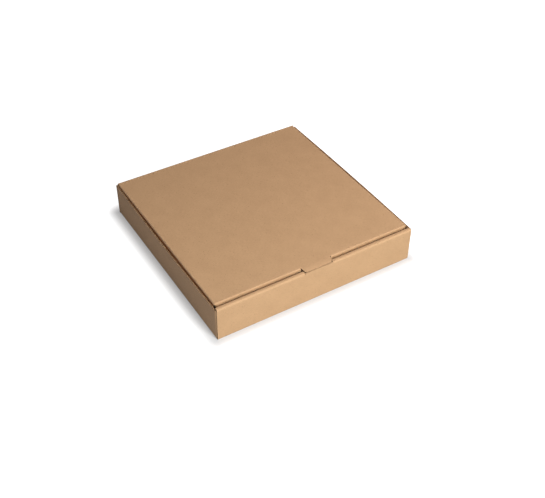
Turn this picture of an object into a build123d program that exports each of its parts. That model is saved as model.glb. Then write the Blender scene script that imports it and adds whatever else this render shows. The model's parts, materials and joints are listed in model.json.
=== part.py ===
from build123d import *
import math
import os

# A plain pizza box of corrugated board, folded from one die-cut blank and closed.
# Facing the front wall, +X is to the right, +Y to the back and +Z up.
# The origin is the middle of the footprint, on the table. All sizes are in millimetres.

# Overall size, outside, at the foot
width = 305.0
depth = 305.0
height = 52.8

# Board and folds
board = 1.6
fold_inner = 0.4
rub = 0.15
lid_clearance = 0.2

# Front wall, rolled over to two plies with the ears between them
front_wall_depth = 6.8
front_wall_inset = 0.6
strip_fold_inner = 1.4
strip_gap_left = 1.3
strip_gap_right = 0.3
ply_end_inset = 0.2
corner_cut = 1.9
lock_tab_width = 32.0
lock_tab_spacing = 170.0
lock_tab_tip = 0.3
slot_clearance = 0.25
rim_drop = 0.1

# Side walls and their ears. The lid and its flaps push the tops of the walls outwards
left_bow = 1.2
left_lean = 0.5
right_bow = 1.3
right_lean_front = 2.2
right_lean_back = 1.8
ear_length = 62.0
ear_drop = 1.6
ear_corner = 8.0

# Lid, which sits a little askew, to the right
lid_width = 302.2
lid_shift_front = 1.8
lid_shift_back = 1.0
lid_front_inset = 11.4
tuck_depth = 36.0
tuck_lean = 2.0
tuck_taper = 5.0
tuck_corner = 8.0
dust_depth = 37.0
dust_start = 1.0
dust_end_gap = 4.0
dust_shoulder = 9.0
dust_slant_front = 12.0
dust_slant_back = 7.0
dust_corner = 6.0
right_dust_lean = 3.0

# Thumb tab, cut from the tuck flap, and its notch in the front wall
tab_root_left = 20.6
tab_root_right = 26.5
tab_tip_left = 19.2
tab_tip_right = 22.2
tab_corner = 3.0
tab_seam = 0.2
cut_width = 0.15
notch_gap_left = 1.6
notch_gap_right = 0.2

# How far a cutter reaches past what it cuts
past = 1.0

# Worked out from the sizes above
fold_outer = fold_inner + board
fold_middle = fold_inner + board / 2
strip_fold_outer = strip_fold_inner + board
half_board = board / 2
side_face = width / 2
front_face = -depth / 2
back_face = depth / 2
lid_underside = height - board
wall_top = lid_underside - rub
inner_ply_y = front_face + front_wall_depth - half_board
hinge_y = back_face - half_board
hinge_z = height - half_board
ear_y = depth / 2 - board - rub
ear_top = wall_top - ear_drop
lid_front_face = front_face + lid_front_inset
fold_corner_y = lid_front_face + fold_outer
fold_root = height - fold_outer
tab_tip_y = front_face + board + tab_seam


def block(low, high):
    """Square block between its lowest and its highest corner."""
    size = [b - a for a, b in zip(low, high)]
    middle = [(a + b) / 2 for a, b in zip(low, high)]
    return Pos(*middle) * Box(*size)


def beside(points, bends, shift):
    """Corners and fold radii of the line that runs to the left of another by a shift."""
    runs = [(b - a).normalized() for a, b in zip(points, points[1:])]
    lefts = [Vector(-run.Y, run.X) for run in runs]
    corners = [points[0] + lefts[0] * shift]
    radii = []
    for point, before, after, bend in zip(points[1:], lefts, lefts[1:], bends):
        corners.append(point + (before + after) * (shift / (1 + before.dot(after))))
        turns_left = before.cross(after).Z > 0
        radii.append(bend - shift if turns_left else bend + shift)
    corners.append(points[-1] + lefts[-1] * shift)
    return corners, radii


def sheet_section(middle_line, bends):
    """Section of the folded board along its middle line, with a fold of the given radius at each corner."""
    points = [Vector(*point) for point in middle_line]
    sides = []
    for shift in (half_board, -half_board):
        corners, radii = beside(points, bends, shift)
        sides.append(FilletPolyline(*corners, radius=radii))
    left, right = sides
    ends = [Line(left @ 0, right @ 0), Line(left @ 1, right @ 1)]
    return make_face(left.edges() + right.edges() + ends)


def quarter_fold(side_x, side_y):
    """Quarter ring, the section of a right-angled fold that bulges to the given quadrant."""
    ring = Circle(fold_outer) - Circle(fold_inner)
    quadrant = Pos(side_x * fold_outer / 2, side_y * fold_outer / 2) * Rectangle(fold_outer, fold_outer)
    return ring & quadrant


def both_sides(solid):
    """The solid and its mirror image on the other side of the box."""
    return solid + mirror(solid, about=Plane.YZ)


def tray_spine():
    """Inner ply, rolled-over strip, front wall, base and back wall, as one bent strip."""
    line = [
        (inner_ply_y, board + rub),
        (inner_ply_y, height - half_board),
        (front_face + half_board, height - half_board),
        (front_face + half_board, half_board),
        (back_face - half_board, half_board),
        (back_face - half_board, wall_top),
    ]
    bends = [fold_middle, strip_fold_inner + half_board, fold_middle, fold_middle]
    spine = extrude(Plane.YZ * sheet_section(line, bends), amount=side_face, both=True)
    fold_line = side_face - fold_outer
    fold_end = depth / 2 - fold_outer
    beside_base = block((fold_line, -fold_end, -past), (side_face + past, fold_end, fold_outer))
    left_end = block(
        (-side_face - past, front_face - past, -past),
        (-side_face + front_wall_inset, -fold_end, height + past),
    )
    left_strip_end = mirror(strip_end_cut(strip_gap_left), about=Plane.YZ)
    return spine - both_sides(beside_base) - strip_end_cut(strip_gap_right) - left_strip_end - left_end


def strip_end_cut(gap):
    """What is cut from the strip's end and from the inner ply's end, which follows the side wall's lean."""
    strip_end = side_face - gap
    fold_back = front_face + strip_fold_outer
    beside_ply = Polyline(
        (side_face - board - ply_end_inset, board),
        (strip_end, height - strip_fold_outer),
        (strip_end, height + past),
        (side_face + past, height + past),
        (side_face + past, board),
        close=True,
    )
    run = inner_ply_y + board - fold_back
    ply_end = extrude(Plane.XZ.offset(-fold_back) * make_face(beside_ply), amount=-run)
    corner = Polyline(
        (side_face + past, fold_back - corner_cut),
        (side_face, fold_back - corner_cut),
        (strip_end, fold_back),
        (side_face + past, fold_back),
        close=True,
    )
    foot = height - strip_fold_outer
    slanted = extrude(Pos(0, 0, foot) * make_face(corner), amount=strip_fold_outer + past)
    return ply_end + slanted


def lock_tabs():
    """Tabs on the inner ply's lower edge, and the slots that they stand in."""
    tabs = []
    slots = []
    for side in (-1, 1):
        middle = side * lock_tab_spacing / 2
        half = lock_tab_width / 2
        low_y = inner_ply_y - half_board
        high_y = inner_ply_y + half_board
        tabs.append(block((middle - half, low_y, lock_tab_tip), (middle + half, high_y, board + rub)))
        slots.append(
            block(
                (middle - half - slot_clearance, low_y - slot_clearance, -past),
                (middle + half + slot_clearance, high_y + slot_clearance, board),
            )
        )
    return tabs, slots


def side_panel(bow, lean_front, lean_back):
    """Side wall drawn as on the right, straight at its foot and pushed out along its top."""
    end = ear_y - fold_outer
    faces = []
    for level, out, front, back in ((fold_outer, 0, 0, 0), (wall_top, bow, lean_front, lean_back)):
        lines = []
        for x in (side_face, side_face - board):
            first = (x + front, -end)
            last = (x + back, end)
            if out:
                lines.append(ThreePointArc(first, (x + (front + back) / 2 + out, 0), last))
            else:
                lines.append(Line(first, last))
        lines.append(Line((side_face + front, -end), (side_face - board + front, -end)))
        lines.append(Line((side_face + back, end), (side_face - board + back, end)))
        faces.append(Pos(0, 0, level) * make_face(lines))
    return loft(faces, ruled=True)


def side_ear(lean):
    """Ear at the back end of the right side wall, folded in along the back wall."""
    root = side_face - fold_outer
    tip = root - ear_length
    foot = board + rub
    slope = lean / (wall_top - fold_outer)
    run = Vector(slope, 0, 1) * (ear_top - fold_outer - rub)
    fold_foot = Pos(root + slope * rub, ear_y - fold_outer, fold_outer + rub)
    fold = extrude(fold_foot * quarter_fold(1, 1), amount=run.length, dir=run.normalized())
    corners = [
        (root, foot),
        (tip + ear_corner, foot),
        (tip, foot + ear_corner),
        (tip, ear_top - ear_corner),
        (tip + ear_corner, ear_top),
        (root, ear_top),
    ]
    outline = Polyline([(x + slope * (z - fold_outer), z) for x, z in corners], close=True)
    panel = extrude(Plane.XZ.offset(-ear_y) * make_face(outline), amount=board)
    return fold + panel


def side_wall(bow, lean_front, lean_back):
    """Side wall drawn as on the right, with its foot fold and its two ears."""
    fold_end = depth / 2 - fold_outer - rub
    foot = extrude(
        Plane.XZ * Pos(side_face - fold_outer, fold_outer) * quarter_fold(1, -1),
        amount=fold_end,
        both=True,
    )
    front_ear = mirror(side_ear(lean_front), about=Plane.XZ)
    return foot + side_panel(bow, lean_front, lean_back) + side_ear(lean_back) + front_ear


def tab_notch():
    """Opening for the thumb tab across the top of the front wall, and the front rim left in it."""
    behind = inner_ply_y + board
    outline = Polyline(
        (-tab_tip_left - notch_gap_left, front_face - past),
        (-tab_root_left - notch_gap_left, behind),
        (tab_root_right + notch_gap_right, behind),
        (tab_tip_right + notch_gap_right, front_face - past),
        close=True,
    )
    floor = height - strip_fold_outer
    opening = extrude(Pos(0, 0, floor) * make_face(outline), amount=strip_fold_outer + past)
    rim = block((-side_face, front_face, floor), (side_face, front_face + board, height - rim_drop))
    return opening, opening & rim


def make_tray():
    """Base, front, back and side walls with their ears."""
    tabs, slots = lock_tabs()
    opening, rim = tab_notch()
    left_wall = mirror(side_wall(left_bow, left_lean, left_lean), about=Plane.YZ)
    tray = tray_spine() + side_wall(right_bow, right_lean_front, right_lean_back) + left_wall
    for slot in slots:
        tray -= slot
    for tab in tabs:
        tray += tab
    return tray - opening + rim


def fold_line(side):
    """Ends of the line that a side fold of the lid turns about, drawn as on the right."""
    front = lid_width / 2 + side * lid_shift_front - fold_outer
    back = lid_width / 2 + side * lid_shift_back - fold_outer
    return Vector(front, fold_corner_y), Vector(back, hinge_y)


def lid_panel():
    """Flat top of the lid inside its folds."""
    right_front, right_back = fold_line(1)
    left_front, left_back = fold_line(-1)
    outline = Polyline(
        (right_front.X, right_front.Y),
        (right_back.X, right_back.Y),
        (-left_back.X, left_back.Y),
        (-left_front.X, left_front.Y),
        close=True,
    )
    return extrude(Pos(0, 0, lid_underside) * make_face(outline), amount=board)


def hanging_section(turn, depth_down):
    """Section of a flap that hangs from the lid. X is outwards and Y up from the middle of its fold."""
    corner = fold_middle * math.tan(turn / 2)
    reach = depth_down + board
    line = [
        (-fold_outer, fold_middle),
        (corner, fold_middle),
        (corner + reach * math.cos(turn), fold_middle - reach * math.sin(turn)),
    ]
    return sheet_section(line, [fold_middle])


def rounded(corners, numbers, radius):
    """Face with the given corners, of which those with the given numbers are rounded."""
    face = make_face(Polyline(*corners, close=True))
    named = [Vector(*corners[i]) for i in numbers]
    return fillet([v for v in face.vertices() if any((v.center() - c).length < rub for c in named)], radius)


def tuck_flap():
    """Front fold of the lid and the tuck flap, which leans out a little towards its lower edge."""
    right = fold_line(1)[0].X
    left = -fold_line(-1)[0].X
    section_plane = Plane(origin=(right, fold_corner_y, fold_root), x_dir=(0, -1, 0), z_dir=(-1, 0, 0))
    turn = math.radians(90 - tuck_lean)
    flap = extrude(section_plane * hanging_section(turn, tuck_depth), amount=right - left)
    low = height - tuck_depth
    corners = [
        (left, height + past),
        (left, fold_root),
        (left + tuck_taper, low),
        (right - tuck_taper, low),
        (right, fold_root),
        (right, height + past),
    ]
    outline = Plane.XZ.offset(-fold_corner_y) * rounded(corners, (2, 3), tuck_corner)
    return flap & extrude(outline, amount=tuck_depth / 2, both=True)


def flap_window():
    """What the thumb tab leaves open in the front fold and in the tuck flap."""
    reach = fold_corner_y - tab_tip_y
    sill = fold_root - (reach - fold_middle * math.pi / 2)
    corners = [
        (-tab_root_left - cut_width, height + past),
        (-tab_root_left - cut_width, fold_root),
        (-tab_tip_left - cut_width, sill),
        (tab_tip_right + cut_width, sill),
        (tab_root_right + cut_width, fold_root),
        (tab_root_right + cut_width, height + past),
    ]
    outline = Plane.XZ.offset(-fold_corner_y) * rounded(corners, (2, 3), tab_corner)
    return extrude(outline, amount=2 * fold_outer + board)


def thumb_tab():
    """Tab in the lid's plane that lies in the notch of the front wall."""
    corners = [
        (-tab_root_left, fold_corner_y),
        (-tab_tip_left, tab_tip_y),
        (tab_tip_right, tab_tip_y),
        (tab_root_right, fold_corner_y),
    ]
    return extrude(Pos(0, 0, lid_underside) * rounded(corners, (1, 2), tab_corner), amount=board)


def dust_flap(side, lean):
    """Side fold of the lid and the dust flap that hangs inside the side wall, drawn as on the right."""
    start, end = fold_line(side)
    run = (end - start).length
    along = (end - start).normalized()
    out = Vector(along.Y, -along.X)
    section_plane = Plane(origin=(start.X, start.Y, fold_root), x_dir=out, z_dir=-along)
    flap = extrude(section_plane * hanging_section(math.radians(90 + lean), dust_depth), amount=-run)
    flap_end = run - dust_end_gap
    fold_end = run - (hinge_y - ear_y) - lid_clearance
    corners = [
        (0, height + past),
        (0, fold_root),
        (dust_start, fold_root),
        (dust_start, height - dust_shoulder),
        (dust_slant_front, height - dust_depth),
        (flap_end - dust_slant_back, height - dust_depth),
        (flap_end, fold_root),
        (fold_end, fold_root),
        (fold_end, lid_underside),
        (run, lid_underside),
        (run, height + past),
    ]
    outline_plane = Plane(origin=(start.X, start.Y, 0), x_dir=along, z_dir=out)
    outline = outline_plane * rounded(corners, (4, 5), dust_corner)
    return flap & extrude(outline, amount=dust_depth / 2, both=True)


def lid_corner(side):
    """Rounded corner of the lid where its front and side folds meet, drawn as on the right."""
    corner, _ = fold_line(side)
    ball = Pos(corner.X, corner.Y, fold_root) * Sphere(fold_outer)
    octant = block(
        (corner.X, corner.Y - fold_outer, fold_root),
        (corner.X + fold_outer, corner.Y, height),
    )
    return ball & octant


def hinge_edge():
    """Back edge of the lid, a full round about the line on which it turns."""
    right = fold_line(1)[1].X + half_board
    left = -fold_line(-1)[1].X - half_board
    rod = Cylinder(half_board, right - left)
    return Pos((left + right) / 2, hinge_y, hinge_z) * Rot(0, 90, 0) * rod


def make_lid():
    """Lid panel with its tuck flap, dust flaps and thumb tab."""
    right_side = dust_flap(1, right_dust_lean) + lid_corner(1)
    left_side = mirror(dust_flap(-1, 0) + lid_corner(-1), about=Plane.YZ)
    lid = lid_panel() + tuck_flap() + right_side + left_side
    return lid - flap_window() + thumb_tab() + hinge_edge()


os.makedirs("parts", exist_ok=True)
export_step(make_tray(), "parts/tray.step")
export_step(make_lid(), "parts/lid.step")
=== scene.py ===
"""A closed pizza box of plain corrugated board on a white floor.

The tray and the lid are made as in a box plant: a flat blank is cut and creased, folded about each
crease in a round fold, and given the thickness of the board. Sizes are in metres, in the frame of
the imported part: +X to the right of the front wall, +Y to the back, +Z up.
"""

import json
import math

import bmesh
import bpy
from mathutils import Matrix, Vector
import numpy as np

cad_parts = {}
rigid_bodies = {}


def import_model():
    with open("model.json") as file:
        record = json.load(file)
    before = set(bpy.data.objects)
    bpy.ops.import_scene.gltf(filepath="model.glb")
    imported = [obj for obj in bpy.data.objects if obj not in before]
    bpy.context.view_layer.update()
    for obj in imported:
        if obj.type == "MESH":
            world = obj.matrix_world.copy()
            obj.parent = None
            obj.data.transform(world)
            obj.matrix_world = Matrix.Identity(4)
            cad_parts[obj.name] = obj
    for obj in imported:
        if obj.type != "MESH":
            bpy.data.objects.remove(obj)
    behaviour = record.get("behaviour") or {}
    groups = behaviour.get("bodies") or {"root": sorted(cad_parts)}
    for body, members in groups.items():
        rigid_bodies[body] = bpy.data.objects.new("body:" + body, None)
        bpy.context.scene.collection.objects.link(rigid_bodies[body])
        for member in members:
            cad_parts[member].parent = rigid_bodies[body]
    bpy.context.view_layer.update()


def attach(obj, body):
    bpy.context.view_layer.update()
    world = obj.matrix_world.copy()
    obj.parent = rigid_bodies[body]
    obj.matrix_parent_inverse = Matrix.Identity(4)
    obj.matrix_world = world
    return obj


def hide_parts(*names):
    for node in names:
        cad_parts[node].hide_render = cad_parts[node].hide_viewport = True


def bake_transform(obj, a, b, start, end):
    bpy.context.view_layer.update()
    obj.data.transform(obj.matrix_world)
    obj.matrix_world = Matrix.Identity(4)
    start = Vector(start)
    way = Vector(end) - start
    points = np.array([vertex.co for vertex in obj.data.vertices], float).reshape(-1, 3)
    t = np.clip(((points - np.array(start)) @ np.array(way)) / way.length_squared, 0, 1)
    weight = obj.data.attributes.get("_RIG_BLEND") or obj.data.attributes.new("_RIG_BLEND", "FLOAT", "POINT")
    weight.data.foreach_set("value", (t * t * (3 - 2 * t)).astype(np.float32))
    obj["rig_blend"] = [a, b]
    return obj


for start_object in list(bpy.data.objects):
    bpy.data.objects.remove(start_object)
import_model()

mm = 0.001
hair = 0.005 * mm
right_angle = math.pi / 2

# Board and folds
board = 1.6 * mm
fold_radius = 2.0 * mm
fold_length = fold_radius * right_angle
fold_steps = 8
crease_margin = 1.4 * mm
grid_step = 9.0 * mm
cut_rounding = 0.12 * mm
rounding_steps = 2
corner_steps = 6
sharp_angle = math.radians(28)
rub = 0.15 * mm

# Outside of the box
width = 305.0 * mm
depth = 305.0 * mm
side_face = width / 2
back_face = depth / 2
front_face = -back_face
height = 52.8 * mm
wall_top = height - board - rub
side_lean_front = {-1: 0.5 * mm, 1: 2.2 * mm}
side_lean_back = {-1: 0.5 * mm, 1: 1.8 * mm}
side_bow = {-1: 1.2 * mm, 1: 1.3 * mm}
base_x = side_face - fold_radius
base_y = back_face - fold_radius

# Front wall, its rolled-over strip and its inner ply. Creases, starts and ends are places along the
# flat blank
front_wall_depth = 6.8 * mm
front_wall_inset = 0.6 * mm
front_wall_left = -side_face + front_wall_inset
strip_radius = 3.0 * mm
strip_length = strip_radius * right_angle
strip_gap_left = 1.3 * mm
strip_gap_right = 0.05 * mm
strip_left = -side_face + strip_gap_left
strip_right = side_face - strip_gap_right
strip_corner = 0.5 * mm
ply_end_gap = 0.2 * mm
ply_half = side_face - board - ply_end_gap
lock_tab_width = 32.0 * mm
lock_tab_middle = 85.0 * mm
lock_tab_length = 1.45 * mm
slot_clearance = 0.25 * mm
slot_low = front_face + front_wall_depth - board - slot_clearance
slot_high = front_face + front_wall_depth + slot_clearance
rim_drop = 0.1 * mm
strip_crease = -base_y - fold_length - (height - fold_radius - strip_radius)
ply_crease = strip_crease - strip_length - (front_wall_depth - strip_radius - fold_radius)
ply_start = ply_crease - fold_length
ply_end = ply_start - (height - fold_radius - board - rub)

# Side walls and their ears
ear_y = back_face - board - rub
ear_drop = 1.6 * mm
ear_length = 62.0 * mm
ear_corner = 8.0 * mm
wall_end = ear_y - fold_radius
foot_end = base_y - rub

# Lid, which sits a little askew, to the right
lid_front_inset = 11.4 * mm
lid_y_front = front_face + lid_front_inset + fold_radius
lid_half = 151.1 * mm
lid_shift_front = 1.8 * mm
lid_shift_back = 1.0 * mm
lid_x_front = {side: lid_half + side * lid_shift_front - fold_radius for side in (-1, 1)}
lid_x_back = {side: lid_half + side * lid_shift_back - fold_radius for side in (-1, 1)}
hinge_y = back_face - board / 2
side_fold_gap = 0.3 * mm
side_fold_end = back_face - board - rub - side_fold_gap
tuck_lean = math.radians(2.0)
tuck_depth = 34.8 * mm
tuck_taper = 5.0 * mm
tuck_corner = 8.0 * mm
dust_depth = 37.0 * mm
dust_start = 1.0 * mm
dust_end_gap = 4.0 * mm
dust_shoulder = 9.0 * mm
dust_slant_front = 12.0 * mm
dust_slant_back = 7.0 * mm
dust_corner = 6.0 * mm
dust_lean = {-1: 0.0, 1: math.radians(3.0)}

# Thumb tab and its notch
tab_left_root = -20.6 * mm
tab_right_root = 26.5 * mm
tab_left_tip = -19.2 * mm
tab_right_tip = 22.2 * mm
tab_seam = 0.2 * mm
tab_tip = front_face + board + tab_seam
tab_corner = 3.0 * mm
cut_width = 0.15 * mm
notch_gap_left = 1.6 * mm
notch_gap_right = 0.1 * mm
notch_left = tab_left_tip - notch_gap_left
notch_right = tab_right_tip + notch_gap_right
notch_slant = {-1: -0.8 * mm, 1: 2.1 * mm}
notch_margin = 3.0 * mm

# Back fold, which joins the back wall to the lid and bends with it
back_fold_inset = 0.1 * mm
back_fold_half = {side: lid_x_back[side] - back_fold_inset for side in (-1, 1)}
back_fold_overlap = 1.0 * mm
back_fold_skin = 0.02 * mm
back_wall_drop = 3.8 * mm
back_wall_end = height - back_wall_drop
back_corner_drop = 1.2 * mm
lid_end = 148.8 * mm

# Papers, as screen colours
kraft_dark = (169, 133, 95)
kraft_light = (220, 180, 137)
cut_paper = (192, 156, 118)
# Colour of the hollows of a cut edge, painted shade
cut_shadow = (100, 70, 42)
paper_ior = 1.45
white = (1.0, 1.0, 1.0, 1.0)

# Patterns of the paper: how fine they are
cloud_scale = 38.0
fibre_scale = (260.0, 1500.0, 1.0)
grain_scale = 900.0
speck_scale = 620.0
sag_scale = 9.0
cut_grain_scale = 2200.0
flute_pitch = 3.3 * mm

# Patterns of the paper: how far they move its shade between dark and light
cloud_shade = 0.3
fibre_shade = 0.7
grain_shade = 0.35
wear_shade = 0.2
speck_shade = 0.8
cut_shade = 0.7
cut_grain_shade = 0.5

# Patterns of the paper: where the noise starts and ends to show
speck_noise = (0.74, 0.82)
wear_noise = (0.35, 0.75)

# Patterns of the paper: how rough it is, and how much rougher they make it
liner_roughness = 0.68
cloud_roughness = 0.12
wear_roughness = 0.06
cut_roughness = 0.8
cut_grain_roughness = 0.15

# Patterns of the paper: their heights, in millimetres
fibre_relief = 0.03
grain_relief = 0.02
flute_relief = 0.006
sag_relief = 0.5
wear_relief = 0.03
cut_relief = 0.12
cut_grain_relief = 0.08

# Cut edge, in shares of the board's thickness: the wave's height from the middle, where the waved
# paper fades out on either side of the wave, and where the liners begin on either side of the middle
wave_height = 0.33
waved_paper = (0.06, 0.14)
liners = (0.33, 0.39)

# Floor and light
floor_half = 3.0
floor_tone = 0.52
# The floor's glow is painted darker close to the box as painted shade: how far out that painted shade
# reaches, and the glow at the box's foot
painted_shade_width = 26.0 * mm
glow_in_painted_shade = 0.295
world_level = 0.12

# Lamps: place, size, power and colour
lamps = {
    "key lamp": ((0.03, -1.2, 0.866), 0.55, 20.5, (0.99, 1.0, 0.99)),
    "top lamp": ((0.62, -0.05, 0.95), 0.7, 3.55, (1.0, 0.8, 0.78)),
    "left lamp": ((-1.1, -0.28, 0.22), 0.35, 1.42, (0.7, 0.76, 1.0)),
}

# View of the photograph
camera_azimuth = math.radians(-31.707)
camera_elevation = math.radians(41.056)
camera_roll = math.radians(0.492)
camera_lens = 57.63
camera_sensor = 36.0
camera_distance = 1.2695
aim_right = 0.01913
aim_up = -0.02101


def rectangle(left, right, low, high):
    """Corners of a rectangle in the flat blank."""
    return [(left, low), (right, low), (right, high), (left, high)]


def round_corners(bm, verts, radius):
    """Rounds corners of a flat panel."""
    bmesh.ops.bevel(
        bm,
        geom=verts,
        offset=radius,
        offset_type="OFFSET",
        segments=corner_steps,
        profile=0.5,
        affect="VERTICES",
        material=-1,
    )


def panel(bm, corners, rounded=(), radius=0.0):
    """Flat panel with the given corners. The corners whose numbers are named are rounded."""
    verts = [bm.verts.new((x, y, 0)) for x, y in corners]
    bm.faces.new(verts)
    if rounded:
        round_corners(bm, [verts[i] for i in rounded], radius)


def cut(bm, across, places, start=(0, 0)):
    """Cuts all panels across a direction, at each distance from a starting point."""
    normal = Vector((*across, 0)).normalized()
    for place in places:
        bmesh.ops.bisect_plane(
            bm,
            geom=bm.verts[:] + bm.edges[:] + bm.faces[:],
            dist=hair / 10,
            plane_co=Vector((*start, 0)) + normal * place,
            plane_no=normal,
        )


def evenly(start, end, step=grid_step):
    """Places between two ends, both left out, no further apart than a step."""
    count = max(1, math.ceil(abs(end - start) / step))
    return [start + (end - start) * i / count for i in range(1, count)]


def crease(start, sign=1, length=fold_length):
    """Places of the cuts for a round fold that starts at a place of the flat blank."""
    steps = [start + sign * length * i / fold_steps for i in range(fold_steps + 1)]
    return [start - sign * crease_margin, *steps, steps[-1] + sign * crease_margin]


def remove(bm, test):
    """Cuts out the faces whose middles pass a test."""
    faces = [f for f in bm.faces if test(f.calc_center_median())]
    bmesh.ops.delete(bm, geom=faces, context="FACES")


def weld(bm):
    """Merges the points where panels meet."""
    bmesh.ops.remove_doubles(bm, verts=bm.verts, dist=10 * hair)


def mark(bm):
    """Notes each point's place in the flat blank, before it is folded."""
    blank = bm.verts.layers.float_vector.new("blank")
    bm.verts.layers.float.new("crease")
    for v in bm.verts:
        v[blank] = v.co


def fold(bm, at, out, up=1, test=None, radius=fold_radius):
    """Folds what lies beyond a crease up, or down where up is -1, in a quarter turn."""
    at = Vector((*at, 0))
    out = Vector((*out, 0)).normalized()
    lift = Vector((0, 0, up))
    bend = bm.verts.layers.float["crease"]
    for v in bm.verts:
        reach = (v.co - at).dot(out)
        if reach < hair or (test and not test(v.co)):
            continue
        turned = min(reach / radius, right_angle)
        along = out * math.cos(turned) + lift * math.sin(turned)
        inward = lift * math.cos(turned) - out * math.sin(turned)
        rise = v.co.dot(lift)
        centre = v.co - out * reach + lift * (radius - rise)
        if turned < right_angle:
            v[bend] = math.sin(2 * turned)
        v.co = centre - inward * (radius - rise) + along * max(reach - radius * right_angle, 0.0)


def join(bm, part):
    """Adds a part's panels to a sheet and uses the part up."""
    mesh = bpy.data.meshes.new("part")
    part.to_mesh(mesh)
    part.free()
    bm.from_mesh(mesh)
    bpy.data.meshes.remove(mesh)


def base_rows():
    """Cuts across the base, which its side walls share."""
    rows = evenly(-wall_end, wall_end) + [slot_low, slot_high]
    for end in (-1, 1):
        rows += [end * wall_end, end * (wall_end - crease_margin)]
        rows += [end * foot_end, end * (base_y - crease_margin)]
    return rows


def tray_spine():
    """Inner ply, roll-over strip, front wall, base and back wall, from the flat blank."""
    back_start = base_y + fold_length
    back_end = back_start + back_wall_end - fold_radius
    back_rim = back_start + wall_top - fold_radius
    shoulders = [
        (front_wall_left, strip_crease),
        (strip_left, strip_crease - strip_length / 2),
        (strip_left, ply_start),
        (-ply_half, ply_end),
        (ply_half, ply_end),
        (strip_right, ply_start),
        (strip_right, strip_crease - strip_length / 2),
        (side_face, strip_crease),
    ]
    bm = bmesh.new()
    panel(bm, rectangle(-base_x, base_x, -base_y, base_y))
    panel(bm, rectangle(front_wall_left, side_face, strip_crease, -base_y))
    panel(bm, shoulders, (1, 6), strip_corner)
    panel(bm, rectangle(-side_face, side_face, base_y, back_end))
    columns = wall_columns() + [notch_left, notch_left + hair, notch_right - hair, notch_right]
    columns += [strip_left, strip_right]
    for side in (-1, 1):
        fold_edge = side * (back_fold_half[side] + fold_radius)
        panel(bm, rectangle(fold_edge, side * side_face, back_end, back_rim - back_corner_drop))
        left = side * lock_tab_middle - lock_tab_width / 2
        right = left + lock_tab_width
        panel(bm, rectangle(left, right, ply_end - lock_tab_length, ply_end))
        columns += [left - slot_clearance, left, right, right + slot_clearance]
        columns += [side * (base_x - crease_margin), side * base_x, side * ply_half, fold_edge]
    rows = base_rows() + [ply_end, back_end]
    rows += crease(-base_y, -1) + crease(base_y)
    rows += crease(strip_crease, -1, strip_length) + crease(ply_crease, -1)
    rows += evenly(-base_y - fold_length, strip_crease) + evenly(ply_start, ply_end)
    rows += evenly(back_start, back_end)
    cut(bm, (1, 0), columns)
    cut(bm, (0, 1), rows)
    weld(bm)
    remove(bm, in_slot)
    remove(bm, in_notch)
    slant_notch(bm)
    mark(bm)
    fold(bm, (0, ply_crease), (0, -1))
    fold(bm, (0, strip_crease), (0, -1), radius=strip_radius)
    join(bm, notch_rim())
    fold(bm, (0, -base_y), (0, -1))
    fold(bm, (0, base_y), (0, 1))
    return bm


def wall_columns():
    """Places of the upright cuts in the front wall, clear of the notch's slanted ends."""
    columns = evenly(-base_x, base_x)
    return [x for x in columns if all(abs(x - end) > notch_margin for end in (notch_left, notch_right))]


def slant_notch(bm):
    """Slants the ends of the notch so that they follow the sides of the thumb tab."""
    run = strip_crease - ply_start
    for v in bm.verts:
        for side, end in ((-1, notch_left), (1, notch_right)):
            if abs(v.co.x - end) < 2 * hair and ply_start - hair < v.co.y < strip_crease:
                v.co.x += notch_slant[side] * (strip_crease - v.co.y) / run
            elif abs(v.co.x - end) < 2 * hair and v.co.y < ply_start:
                v.co.x += notch_slant[side]


def in_slot(p):
    """Whether a place in the flat blank is in a slot of the base."""
    beside = abs(abs(p.x) - lock_tab_middle)
    return beside < lock_tab_width / 2 + slot_clearance and slot_low < p.y < slot_high


def in_notch(p):
    """Whether a place in the flat blank is in the front wall's notch for the thumb tab."""
    return notch_left < p.x < notch_right and ply_start < p.y < strip_crease


def notch_rim():
    """Upright rim of the front wall below the thumb tab, where the strip is cut away."""
    bm = bmesh.new()
    low = strip_crease - strip_radius + rim_drop
    panel(bm, rectangle(notch_left + hair, notch_right - hair, low, strip_crease))
    cut(bm, (1, 0), wall_columns())
    mark(bm)
    return bm


def tray_side(side):
    """Side wall with its two ears. The side is -1 for the left and 1 for the right."""
    wall_start = base_x + fold_length
    rim = wall_start + wall_top - fold_radius
    ear_low = wall_start + rub
    ear_high = rim - ear_drop
    ear_start = wall_end + fold_length
    ear_tip = ear_start + ear_length
    columns = crease(base_x) + evenly(wall_start + crease_margin, rim) + [ear_low, ear_high]
    bm = bmesh.new()
    panel(bm, rectangle(side * base_x, side * wall_start, -foot_end, foot_end))
    panel(bm, rectangle(side * wall_start, side * rim, -wall_end, wall_end))
    cut(bm, (side, 0), columns)
    cut(bm, (0, 1), base_rows())
    ears = bmesh.new()
    for end in (-1, 1):
        corners = rectangle(side * ear_low, side * ear_high, end * wall_end, end * ear_tip)
        panel(ears, corners, (2, 3), ear_corner)
        cut(ears, (0, end), crease(wall_end) + evenly(ear_start, ear_tip))
    cut(ears, (side, 0), columns)
    join(bm, ears)
    weld(bm)
    mark(bm)
    for end in (-1, 1):
        fold(bm, (0, end * wall_end), (0, end), test=lambda p: p.x * side > wall_start + hair)
    lean_on(bm, side, wall_start, rim)
    fold(bm, (side * base_x, 0), (side, 0))
    return bm


def lean_on(bm, side, wall_start, rim):
    """Leans and bows a side wall outwards towards its rim. Out is down while the wall lies flat."""
    for v in bm.verts:
        rise = (v.co.x * side - wall_start) / (rim - wall_start)
        along = abs(v.co.y) / wall_end
        if rise > 0:
            front = 0.5 - v.co.y / wall_end / 2
            lean = side_lean_back[side] + (side_lean_front[side] - side_lean_back[side]) * front
            v.co.z -= rise * (lean + side_bow[side] * max(1 - along**2, 0))


def lid_rows():
    """Cuts across the lid, which its dust flaps share."""
    return evenly(lid_y_front, lid_end) + [lid_y_front + crease_margin, lid_end - crease_margin]


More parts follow.
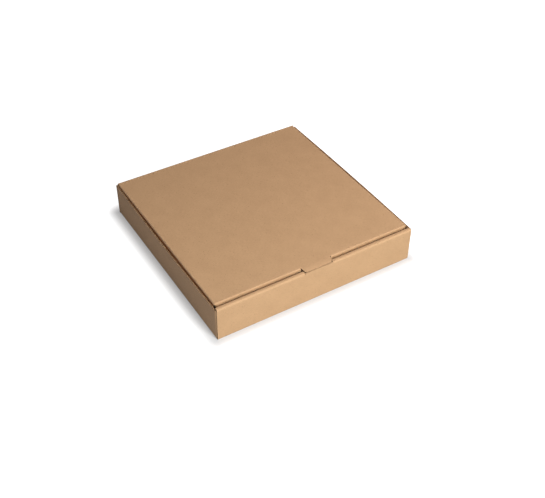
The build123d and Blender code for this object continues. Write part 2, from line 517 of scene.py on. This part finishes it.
def lid_side(side):
    """Start, direction and outward direction of the crease along a side of the lid."""
    start = Vector((side * lid_x_front[side], lid_y_front))
    along = Vector((side * lid_x_back[side], hinge_y)) - start
    along.normalize()
    return start, along, Vector((along.y, -along.x)) * side


def lid_edge(side, y):
    """Place in x of the crease along a side of the lid, at a place in y."""
    start, along, _ = lid_side(side)
    return (start + along * ((y - start.y) / along.y)).x


def lid_top():
    """Lid panel, tuck flap and thumb tab, the flap folded down."""
    flap_start = lid_y_front - fold_length
    flap_end = flap_start - tuck_depth
    sill = flap_start - (lid_y_front - tab_tip - fold_length)
    left, right = -lid_x_front[-1], lid_x_front[1]
    left_end, right_end = [lid_edge(side, lid_end) for side in (-1, 1)]
    flap = [
        (left, lid_y_front),
        (left, flap_start),
        (left + tuck_taper, flap_end),
        (right - tuck_taper, flap_end),
        (right, flap_start),
        (right, lid_y_front),
        (tab_right_root + cut_width, lid_y_front),
        (tab_right_root + cut_width, flap_start),
        (tab_right_tip + cut_width, sill),
        (tab_left_tip - cut_width, sill),
        (tab_left_root - cut_width, flap_start),
        (tab_left_root - cut_width, lid_y_front),
    ]
    columns = evenly(left, right) + [tab_left_root, tab_right_root]
    columns += [tab_left_root - cut_width, tab_right_root + cut_width]
    columns += [left + crease_margin, right - crease_margin]
    bm = bmesh.new()
    panel(bm, [(left, lid_y_front), (right, lid_y_front), (right_end, lid_end), (left_end, lid_end)])
    panel(bm, flap)
    round_corners(bm, [v for v in bm.verts if v.co.y < flap_end + hair], tuck_corner)
    cut(bm, (1, 0), columns)
    cut(bm, (0, 1), lid_rows() + crease(lid_y_front, -1) + evenly(flap_start, flap_end) + [sill])
    weld(bm)
    mark(bm)
    fold(bm, (0, lid_y_front), (0, -1), -1)
    for v in bm.verts:
        drop = max(-v.co.z - fold_radius, 0)
        v.co.y -= drop * math.tan(tuck_lean)
    for side in (-1, 1):
        lid_corner(bm, side)
    tab = bmesh.new()
    root = [(tab_right_root, lid_y_front), (tab_left_root, lid_y_front)]
    panel(tab, root + [(tab_left_tip, tab_tip), (tab_right_tip, tab_tip)], (2, 3), tab_corner)
    cut(tab, (1, 0), columns)
    cut(tab, (0, 1), [lid_y_front - crease_margin])
    mark(tab)
    join(bm, tab)
    return bm


def lid_corner(bm, side):
    """Round corner between the front fold and a side fold of the lid."""
    start, _, out = lid_side(side)
    arc = [
        e
        for e in bm.edges
        if all(
            abs(v.co.x - start.x) < hair and v.co.y < start.y + hair and v.co.z > -fold_radius - hair
            for v in e.verts
        )
    ]
    bmesh.ops.spin(
        bm,
        geom=arc + list(dict.fromkeys(v for e in arc for v in e.verts)),
        cent=Vector((*start, 0)),
        axis=(0, 0, side),
        angle=Vector((0, -1)).angle(out),
        steps=fold_steps,
        use_merge=False,
    )


def dust_flap(side):
    """Side fold of the lid and its dust flap."""
    start, along, out = lid_side(side)
    run = (hinge_y - start.y) / along.y
    fold_end = (side_fold_end - start.y) / along.y
    flap_end = run - dust_end_gap

    def place(distance, reach):
        return start + along * distance + out * (fold_length + reach)

    bm = bmesh.new()
    zone = [(0, -fold_length), (fold_end, -fold_length), (fold_end, 0), (0, 0)]
    panel(bm, [place(*p) for p in zone])
    flap = [
        (dust_start, 0),
        (flap_end, 0),
        (flap_end - dust_slant_back, dust_depth - fold_radius),
        (dust_slant_front, dust_depth - fold_radius),
        (dust_start, dust_shoulder - fold_radius),
    ]
    panel(bm, [place(*p) for p in flap], (2, 3), dust_corner)
    rows = lid_rows() + [place(dust_start, 0).y, place(flap_end, 0).y]
    cut(bm, (0, 1), rows)
    cut(bm, out, crease(0) + evenly(fold_length + crease_margin, fold_length + dust_depth), start)
    weld(bm)
    mark(bm)
    fold(bm, start, out, -1)
    for v in bm.verts:
        drop = max(-v.co.z - fold_radius, 0)
        v.co.x -= side * drop * math.tan(dust_lean[side])
    return bm


def back_fold():
    """Board round the back fold, a little proud of the two sheets that it joins."""
    back_end = base_y + fold_length + height - fold_radius - back_wall_end + back_fold_overlap
    left, right = -back_fold_half[-1], back_fold_half[1]
    sides = [
        (left, lid_end - back_fold_overlap),
        (right, lid_end - back_fold_overlap),
        (right, side_fold_end),
        (right + fold_radius, side_fold_end),
        (right + fold_radius, back_end),
        (left - fold_radius, back_end),
        (left - fold_radius, side_fold_end),
        (left, side_fold_end),
    ]
    bm = bmesh.new()
    panel(bm, sides)
    cut(bm, (1, 0), [left, right] + evenly(left, right))
    cut(bm, (0, 1), crease(base_y))
    mark(bm)
    bmesh.ops.translate(bm, verts=bm.verts, vec=(0, 0, back_fold_skin))
    fold(bm, (0, base_y), (0, 1), -1)
    return bm


def in_rim(p):
    """Whether a place in the flat blank is in the rim of the notch, which the tab's tip rubs smooth."""
    return notch_left < p.x < notch_right and strip_crease - strip_radius < p.y < strip_crease - hair


def thicken(bm, thickness):
    """Gives a folded sheet its thickness, inward from the outer face, with rounded cut edges."""
    blank = bm.verts.layers.float_vector["blank"]
    solid = bmesh.ops.solidify(bm, geom=bm.faces[:], thickness=thickness)
    inner = {v for v in solid["geom"] if isinstance(v, bmesh.types.BMVert)}
    for v in inner:
        v[blank] = (v[blank].x, v[blank].y, 1.0)
    for f in bm.faces:
        deep = sum(v in inner for v in f.verts)
        cut_face = 0 < deep < len(f.verts) and not all(in_rim(v[blank]) for v in f.verts)
        f.material_index = 1 if cut_face else 0
        f.smooth = True
    edges = [e for e in bm.edges if {f.material_index for f in e.link_faces} == {0, 1}]
    bmesh.ops.bevel(
        bm,
        geom=edges,
        offset=cut_rounding,
        offset_type="OFFSET",
        segments=rounding_steps,
        profile=0.5,
        affect="EDGES",
        material=-1,
        clamp_overlap=True,
    )


def face_outward(bm):
    """Turns a sheet's faces so that they all face out of the box."""
    bmesh.ops.recalc_face_normals(bm, faces=bm.faces)
    middle = Vector((0, 0, height / 2))
    if sum(f.calc_area() * f.normal.dot(f.calc_center_median() - middle) for f in bm.faces) < 0:
        bmesh.ops.reverse_faces(bm, faces=bm.faces)


def make_piece(bm, name, thickness=board):
    """Makes a folded sheet a piece of the scene."""
    weld(bm)
    face_outward(bm)
    thicken(bm, thickness)
    mesh = bpy.data.meshes.new(name)
    bm.to_mesh(mesh)
    bm.free()
    mesh.set_sharp_from_angle(angle=sharp_angle)
    for material in board_materials:
        mesh.materials.append(material)
    piece = bpy.data.objects.new(name, mesh)
    bpy.context.collection.objects.link(piece)
    return piece


def make_tray():
    """Tray of one folded sheet: base, walls, roll-over front and ears."""
    bm = tray_spine()
    for side in (-1, 1):
        join(bm, tray_side(side))
    piece = make_piece(bm, "tray_board")
    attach(piece, "tray")
    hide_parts("tray")


def make_lid():
    """Lid of one folded sheet: panel, tuck flap, thumb tab and dust flaps."""
    bm = lid_top()
    for side in (-1, 1):
        join(bm, dust_flap(side))
    bmesh.ops.translate(bm, verts=bm.verts, vec=(0, 0, height))
    piece = make_piece(bm, "lid_board")
    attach(piece, "lid")
    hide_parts("lid")


def make_back_fold():
    """Piece of board that bends about the hinge line as the lid opens."""
    bm = back_fold()
    bmesh.ops.translate(bm, verts=bm.verts, vec=(0, 0, height))
    piece = make_piece(bm, "back_fold", board + 2 * back_fold_skin)
    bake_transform(piece, "tray", "lid", start=(0, back_face, height - fold_radius), end=(0, base_y, height))


class Value:
    """A number or a vector in a material, on which sums can be written."""

    def __init__(self, finish, socket):
        self.finish = finish
        self.socket = socket

    def maths(self, operation, *others):
        """A Math node on this value and others."""
        return self.finish.node("ShaderNodeMath", {"operation": operation}, (self, *others))

    def __add__(self, other):
        return self.maths("ADD", other)

    def __sub__(self, other):
        return self.maths("SUBTRACT", other)

    def __mul__(self, other):
        return self.maths("MULTIPLY", other)

    __radd__ = __add__


class Finish:
    """A material, or the world, whose nodes are under construction."""

    def __init__(self, owner):
        owner.use_nodes = True
        self.owner = owner
        self.nodes = owner.node_tree.nodes
        self.links = owner.node_tree.links
        self.nodes.clear()

    def node(self, kind, settings=None, values=(), output=0):
        """A node of a kind, its settings, and the values or links of its sockets."""
        node = self.nodes.new(kind)
        for name, setting in (settings or {}).items():
            setattr(node, name, setting)
        pairs = values.items() if isinstance(values, dict) else enumerate(values)
        for key, value in pairs:
            if isinstance(value, Value):
                self.links.new(value.socket, node.inputs[key])
            elif value is not None:
                node.inputs[key].default_value = value
        return Value(self, node.outputs[output])

    def vectors(self, operation, *values, output="Vector"):
        """A Vector Math node on vectors."""
        return self.node("ShaderNodeVectorMath", {"operation": operation}, values, output)

    def mix(self, factor, first, second):
        """Colour between two colours. Sockets of the same name are told apart by their numbers."""
        settings = {"data_type": "RGBA"}
        return self.node("ShaderNodeMix", settings, {0: factor, 6: first, 7: second}, output=2)

    def noise(self, vector, scale, detail=2.0, roughness=0.5):
        """Smooth noise from 0 to 1."""
        values = {"Vector": vector, "Scale": scale, "Detail": detail, "Roughness": roughness}
        return self.node("ShaderNodeTexNoise", {"noise_dimensions": "3D"}, values)

    def ramp(self, value, low, high, start=0.0, end=1.0):
        """Smooth step of a value from low to high, from a start to an end."""
        values = {"Value": value, "From Min": low, "From Max": high, "To Min": start, "To Max": end}
        return self.node("ShaderNodeMapRange", {"interpolation_type": "SMOOTHSTEP"}, values)

    def attribute(self, name, output):
        """What a layer of the mesh holds at each point."""
        return self.node("ShaderNodeAttribute", {"attribute_name": name}, output=output)

    def flutes(self, place):
        """Wave of the paper between the liners, from -1 to 1. The flutes run from left to right."""
        along = self.node("ShaderNodeSeparateXYZ", {}, (place,), output="Y")
        return (along * (2 * math.pi / flute_pitch)).maths("SINE")

    def bump(self, height_map):
        """Normal of a surface with a height in millimetres."""
        values = {"Strength": 1.0, "Distance": mm, "Height": height_map}
        return self.node("ShaderNodeBump", {}, values)

    def end(self, shader, kind="ShaderNodeOutputMaterial"):
        """Links a shader to the output and gives back what was finished."""
        output = self.nodes.new(kind)
        self.links.new(shader.socket, output.inputs["Surface"])
        return self.owner

    def end_in_surface(self, values):
        """Ends a material in a Principled surface and gives it back."""
        return self.end(self.node("ShaderNodeBsdfPrincipled", {}, values))


def linear(*screen):
    """Colour of a paper from its screen values of 0 to 255."""
    parts = [c / 255 for c in screen]
    return (*[c / 12.92 if c < 0.04045 else ((c + 0.055) / 1.055) ** 2.4 for c in parts], 1.0)


def kraft_liner():
    """Brown paper of the board's faces: cloudy, fibrous, speckled, and worn pale along its folds."""
    finish = Finish(bpy.data.materials.new("kraft liner"))
    place = finish.attribute("blank", "Vector")
    bend = finish.attribute("crease", "Fac")
    cloud = finish.noise(place, cloud_scale, detail=3.0, roughness=0.6)
    stretched = finish.vectors("MULTIPLY", place, fibre_scale)
    fibre = finish.noise(stretched, 1.0, detail=3.0, roughness=0.65)
    grain = finish.noise(place, grain_scale, roughness=0.6)
    speck = finish.ramp(finish.noise(place, speck_scale, detail=0.0), *speck_noise)
    wear = bend * finish.ramp(grain, *wear_noise)
    shade = 0.5 + (cloud - 0.5) * cloud_shade + (fibre - 0.5) * fibre_shade
    shade = shade + (grain - 0.5) * grain_shade + wear * wear_shade - speck * speck_shade
    colour = finish.mix(shade, linear(*kraft_dark), linear(*kraft_light))
    flutes = finish.flutes(place) * flute_relief
    sag = finish.noise(place, sag_scale, detail=1.0) * sag_relief
    relief = fibre * fibre_relief + grain * grain_relief + flutes + sag + wear * wear_relief
    normal = finish.bump(relief)
    rough = liner_roughness + cloud * cloud_roughness + wear * wear_roughness
    values = {"Base Color": colour, "Roughness": rough, "IOR": paper_ior, "Normal": normal}
    return finish.end_in_surface(values)


def raw_edge():
    """Cut edge of the board: two liners with the waved paper between them, and painted shade where it is
    hollow.
    """
    finish = Finish(bpy.data.materials.new("raw edge"))
    place = finish.attribute("blank", "Vector")
    layer = finish.node("ShaderNodeSeparateXYZ", {}, (place,), output="Z")
    wave = 0.5 + finish.flutes(place) * wave_height
    off_wave = (layer - wave).maths("ABSOLUTE")
    off_middle = (layer - 0.5).maths("ABSOLUTE")
    waved = finish.ramp(off_wave, *waved_paper, 1.0, 0.0)
    liner = finish.ramp(off_middle, *liners)
    paper = waved.maths("MAXIMUM", liner)
    grain = finish.noise(place, cut_grain_scale, roughness=0.6)
    shade = paper * (cut_shade + grain * cut_grain_shade)
    # The hollows between the papers take the colour cut_shadow, which is painted shade
    colour = finish.mix(shade, linear(*cut_shadow), linear(*cut_paper))
    normal = finish.bump(paper * cut_relief + grain * cut_grain_relief)
    rough = cut_roughness + grain * cut_grain_roughness
    values = {"Base Color": colour, "Roughness": rough, "IOR": paper_ior, "Normal": normal}
    return finish.end_in_surface(values)


def white_floor():
    """Pale floor that the camera sees as white, apart from the box's shadow and a painted shade round the
    box's foot, where its glow is dimmer.
    """
    finish = Finish(bpy.data.materials.new("white floor"))
    paper = finish.node("ShaderNodeBsdfDiffuse", {}, {"Color": (floor_tone,) * 3 + (1,)})
    seen = finish.node("ShaderNodeLightPath", {}, output="Is Camera Ray")
    place = finish.node("ShaderNodeTexCoord", {}, output="Object")
    beside = finish.vectors("ABSOLUTE", place)
    beyond = finish.vectors("SUBTRACT", beside, (side_face, back_face, 0.0))
    outside = finish.vectors("MAXIMUM", beyond, (0.0, 0.0, 0.0))
    away = finish.vectors("LENGTH", outside, output="Value")
    # Painted shade: the glow that the camera sees is dimmer close to the box's foot
    lift = finish.ramp(away, 0.0, painted_shade_width, glow_in_painted_shade, 1.0)
    white_glow_and_painted_shade = finish.node("ShaderNodeEmission", {}, {"Color": white, "Strength": seen * lift})
    return finish.end(finish.node("ShaderNodeAddShader", {}, (paper, white_glow_and_painted_shade)))


def make_floor():
    """Large flat floor under the box."""
    bm = bmesh.new()
    bmesh.ops.create_grid(bm, x_segments=1, y_segments=1, size=floor_half)
    mesh = bpy.data.meshes.new("floor")
    bm.to_mesh(mesh)
    bm.free()
    mesh.materials.append(white_floor())
    floor = bpy.data.objects.new("floor", mesh)
    bpy.context.collection.objects.link(floor)


def make_lamp(name, place, size, power, colour):
    """Square soft lamp that points at the box."""
    data = bpy.data.lights.new(name, "AREA")
    data.shape = "SQUARE"
    data.size = size
    data.energy = power
    data.color = colour
    lamp = bpy.data.objects.new(name, data)
    lamp.location = place
    lamp.rotation_mode = "QUATERNION"
    lamp.rotation_quaternion = Vector(place).to_track_quat("Z", "Y")
    bpy.context.collection.objects.link(lamp)


def make_light():
    """Key lamp from the front, weaker ones from the upper right and the left, and light all round."""
    for name, settings in lamps.items():
        make_lamp(name, *settings)
    studio = Finish(bpy.data.worlds.new("studio"))
    seen = studio.node("ShaderNodeLightPath", {}, output="Is Camera Ray")
    strength = world_level + seen * (1.0 - world_level)
    background = studio.node("ShaderNodeBackground", {}, {"Color": white, "Strength": strength})
    bpy.context.scene.world = studio.end(background, "ShaderNodeOutputWorld")


def make_camera():
    """Camera at the photograph's view of the box, from above its front left corner."""
    back = Vector(
        (
            math.sin(camera_azimuth) * math.cos(camera_elevation),
            -math.cos(camera_azimuth) * math.cos(camera_elevation),
            math.sin(camera_elevation),
        )
    )
    level = Vector((math.cos(camera_azimuth), math.sin(camera_azimuth), 0))
    upright = back.cross(level)
    right = level * math.cos(camera_roll) + upright * math.sin(camera_roll)
    up = upright * math.cos(camera_roll) - level * math.sin(camera_roll)
    place = right * aim_right + up * aim_up + back * camera_distance
    data = bpy.data.cameras.new("camera")
    data.lens = camera_lens
    data.sensor_width = camera_sensor
    camera = bpy.data.objects.new("camera", data)
    camera.matrix_world = Matrix.Translation(place) @ Matrix((right, up, back)).transposed().to_4x4()
    bpy.context.collection.objects.link(camera)
    bpy.context.scene.camera = camera


board_materials = [kraft_liner(), raw_edge()]
make_tray()
make_lid()
make_back_fold()
make_floor()
make_light()
make_camera()
bpy.context.scene.view_settings.view_transform = "Standard"
